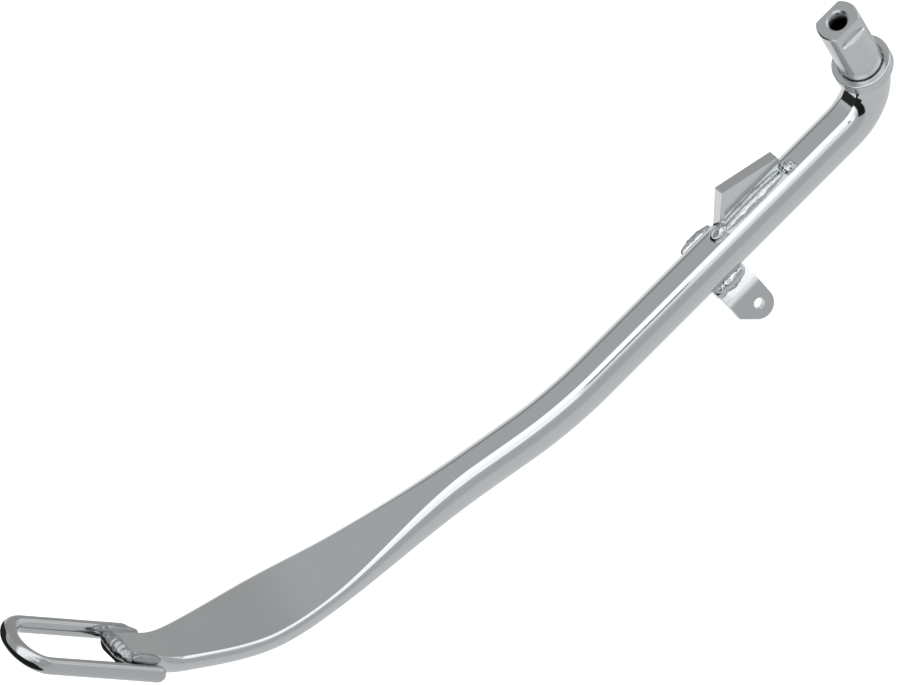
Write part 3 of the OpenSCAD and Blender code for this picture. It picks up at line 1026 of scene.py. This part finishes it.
def make_floor():
    """A plain pale floor under the leg.

    It stays out of the chrome, because the studio already has a pale lower half."""
    half, gap = 4.0, 0.001
    bm = bmesh.new()
    bmesh.ops.create_grid(bm, x_segments=8, y_segments=8, size=half)
    mesh = bpy.data.meshes.new("floor")
    bm.to_mesh(mesh)
    bm.free()
    floor = bpy.data.objects.new("floor", mesh)
    floor.location = (0, 0, cad_box[0].z - gap)
    bpy.context.scene.collection.objects.link(floor)
    material = bpy.data.materials.new("pale_floor")
    material.use_nodes = True
    shader = material.node_tree.nodes["Principled BSDF"]
    shader.inputs["Base Color"].default_value = (0.9, 0.9, 0.9, 1)
    shader.inputs["Roughness"].default_value = 1.0
    shader.inputs["Emission Color"].default_value = (1, 1, 1, 1)
    shader.inputs["Emission Strength"].default_value = 0.6
    mesh.materials.append(material)
    floor.visible_glossy = False


def make_camera():
    """A long lens from the front and above, rolled so that the leg runs down to the left."""
    azimuth, elevation, roll = radians(-15.66), radians(57.0), radians(-31.77)
    distance, view_width, sensor = 10.5, 0.3573, 36.0
    aim_right, aim_up = -0.0074, 0.0142
    back = Vector((sin(azimuth) * cos(elevation), -cos(azimuth) * cos(elevation), sin(elevation)))
    level_right = Vector((cos(azimuth), sin(azimuth), 0))
    level_up = back.cross(level_right)
    right = level_right * cos(roll) + level_up * sin(roll)
    up = level_up * cos(roll) - level_right * sin(roll)
    data = bpy.data.cameras.new("camera")
    data.sensor_width, data.lens = sensor, sensor * distance / view_width
    camera = bpy.data.objects.new("camera", data)
    bpy.context.scene.collection.objects.link(camera)
    aim = (cad_box[0] + cad_box[1]) / 2 + right * aim_right + up * aim_up
    turn = Matrix((right, up, back)).transposed()
    camera.matrix_world = Matrix.Translation(aim + back * distance) @ turn.to_4x4()
    bpy.context.scene.camera = camera


# ---------------------------------------------------------------- the scene

bar_chrome = chrome(
    "bar_chrome",
    (0.67, 0.69, 0.70),
    (0.63, 0.65, 0.66),
    0.05,
    wave=0.16,
    wave_size=34.0,
    grain=0.03,
)
loop_chrome = chrome(
    "loop_chrome",
    (0.55, 0.56, 0.57),
    (0.50, 0.52, 0.53),
    0.06,
    wave=0.16,
    wave_size=60.0,
    grain=0.04,
)
turned_chrome = chrome(
    "turned_chrome",
    (0.65, 0.66, 0.67),
    (0.58, 0.60, 0.61),
    0.20,
    wave=0.10,
    wave_size=90.0,
    grain=0.10,
    bore=True,
)
plate_chrome = chrome(
    "plate_chrome",
    (0.66, 0.68, 0.69),
    (0.63, 0.65, 0.66),
    0.08,
    wave=0.10,
    wave_size=70.0,
    grain=0.05,
)
toe_weld_chrome = chrome(
    "toe_weld_chrome",
    (0.44, 0.45, 0.46),
    (0.36, 0.37, 0.38),
    0.30,
    wave=0.14,
    wave_size=300.0,
    grain=0.06,
    pits=0.3,
)
weld_chrome = chrome(
    "weld_chrome",
    (0.66, 0.67, 0.68),
    (0.55, 0.56, 0.58),
    0.06,
    wave=0.10,
    wave_size=380.0,
    grain=0.04,
    pits=0.25,
)

make_leg(bar_chrome)
make_stud(turned_chrome)
make_collar(turned_chrome)
make_neck_weld(bar_chrome)
make_plate(plate_chrome)
make_tab(plate_chrome)
make_loop(loop_chrome)
make_stop_beads(weld_chrome)
make_tab_beads(weld_chrome)
make_loop_beads(toe_weld_chrome)
make_floor()
make_cards()
make_world()
make_camera()
bpy.context.scene.view_settings.view_transform = "Standard"
